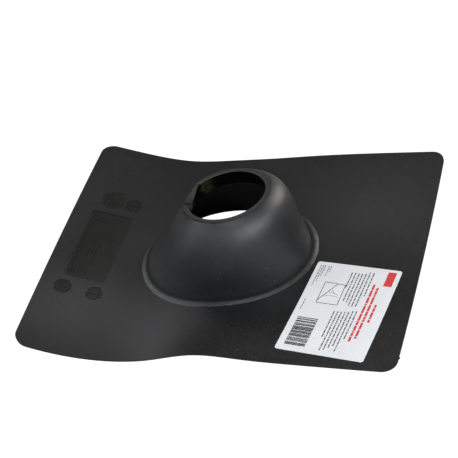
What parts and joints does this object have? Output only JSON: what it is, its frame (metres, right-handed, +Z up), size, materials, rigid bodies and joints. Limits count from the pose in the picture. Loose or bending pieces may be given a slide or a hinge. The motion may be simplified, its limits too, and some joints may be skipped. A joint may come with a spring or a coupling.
{
  "type": "pipe flashing boot",
  "caption": "Moulded rubber roof flashing: a flexible base sheet with a leaning hollow dome and a round collar that grips a vent pipe.",
  "frame": {"origin": "middle of the sheet's plan at floor level", "axes": "+X along the sheet's length, up the roof slope, towards the label; +Y towards the back edge; +Z up, out of the roof"},
  "size_m": [0.4222, 0.3174, 0.0979],
  "materials": {
    "boot_rubber": "fine moulded grain, satin",
    "label_paper": "smooth coated paper"
  },
  "bodies": {
    "root": {"flashing_boot": "boot_rubber", "paper_label": "label_paper"}
  },
  "joints": []
}
